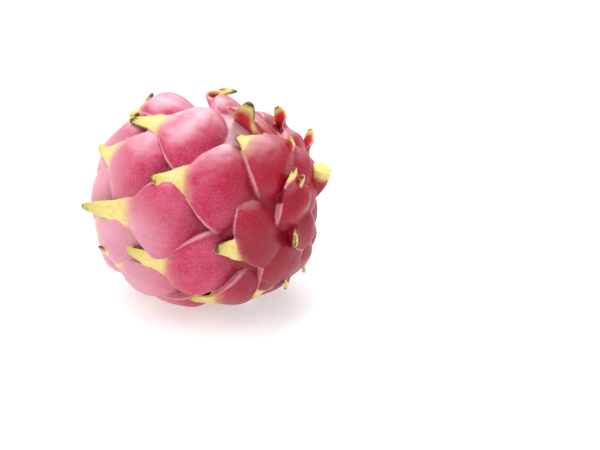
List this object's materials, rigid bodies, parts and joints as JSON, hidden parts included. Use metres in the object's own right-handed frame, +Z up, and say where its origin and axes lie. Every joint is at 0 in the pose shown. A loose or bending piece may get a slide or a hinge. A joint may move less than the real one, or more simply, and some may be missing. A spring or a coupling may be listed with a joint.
{
  "type": "dragon fruit",
  "caption": "Whole red dragon fruit lying on its side: an egg-shaped body covered by fleshy overlapping scales with pointed tips, a short cut stem and a withered flower in the navel.",
  "frame": {"origin": "on the surface that the fruit rests on, under the middle of its bounding box", "axes": "+X along the fruit's axis from the flower end to the cut stem, +Z up, -Y towards the side that is seen"},
  "size_m": [0.1024, 0.0888, 0.091],
  "materials": {
    "peel": "waxy satin pink peel with yellow-green tips",
    "dried_flower": "dry matte brown"
  },
  "bodies": {
    "root": {"dragon_fruit": "peel", "dried_flower": "dried_flower"}
  },
  "joints": []
}
